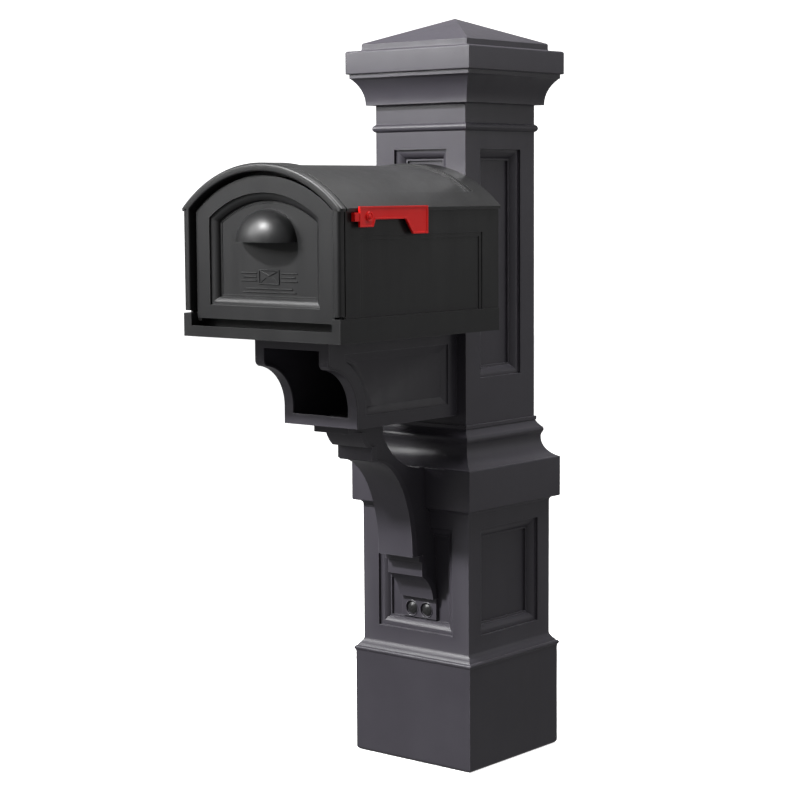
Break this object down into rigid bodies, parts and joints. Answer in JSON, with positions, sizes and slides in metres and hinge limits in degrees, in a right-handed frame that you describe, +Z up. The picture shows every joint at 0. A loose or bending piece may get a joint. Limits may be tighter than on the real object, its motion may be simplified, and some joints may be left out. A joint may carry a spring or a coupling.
{
  "type": "post-mounted residential mailbox",
  "caption": "Arched residential mailbox with a drop-down front door and signal flag, on a moulded square column with a newspaper holder and a corbel bracket.",
  "frame": {"origin": "centre of the square base, on the ground plane", "axes": "+Z up the post; -Y out of the mailbox's front, towards the carrier; +X to the side that carries the flag"},
  "size_m": [0.4003, 0.7408, 1.4655],
  "materials": {
    "post_plastic": "satin moulded plastic with a faint grain",
    "mailbox_plastic": "satin moulded plastic, near black",
    "flag_plastic": "semi-gloss red",
    "guide_plastic": "plain moulded plastic",
    "fastener_steel": "darkened steel",
    "magnet": "dull dark ferrite"
  },
  "bodies": {
    "post": {"pedestal": "post_plastic", "column": "post_plastic", "post_cap": "post_plastic", "lower_timber_guide": "guide_plastic", "upper_timber_guide": "guide_plastic", "holder_body": "post_plastic", "holder_front_frame": "post_plastic", "holder_bolts": "fastener_steel", "holder_nuts": "fastener_steel", "corbel": "post_plastic", "corbel_bolts": "fastener_steel", "corbel_nuts": "fastener_steel", "mailbox_tray": "mailbox_plastic", "tray_screws": "fastener_steel", "mailbox_shell": "mailbox_plastic", "shell_screws": "fastener_steel", "front_frame": "mailbox_plastic", "rear_panel": "mailbox_plastic", "rear_panel_screws": "fastener_steel", "hinge_pins": "fastener_steel", "catch_magnet": "magnet", "flag_pivot_bolt": "fastener_steel", "flag_washer": "fastener_steel", "flag_nut": "fastener_steel"},
    "door": {"door": "mailbox_plastic", "door_pull": "mailbox_plastic", "door_pull_screws": "fastener_steel", "catch_plate": "fastener_steel"},
    "flag": {"flag": "flag_plastic"}
  },
  "joints": [
    {"name": "door_hinge", "type": "hinge", "parent": "post", "child": "door", "pos_m": [0, -0.548, 0.897], "axis": [1, 0, 0], "range_deg": [0, 95]},
    {"name": "flag_pivot", "type": "hinge", "parent": "post", "child": "flag", "pos_m": [0.1976, -0.4994, 1.0854], "axis": [1, 0, 0], "range_deg": [0, 90]}
  ]
}
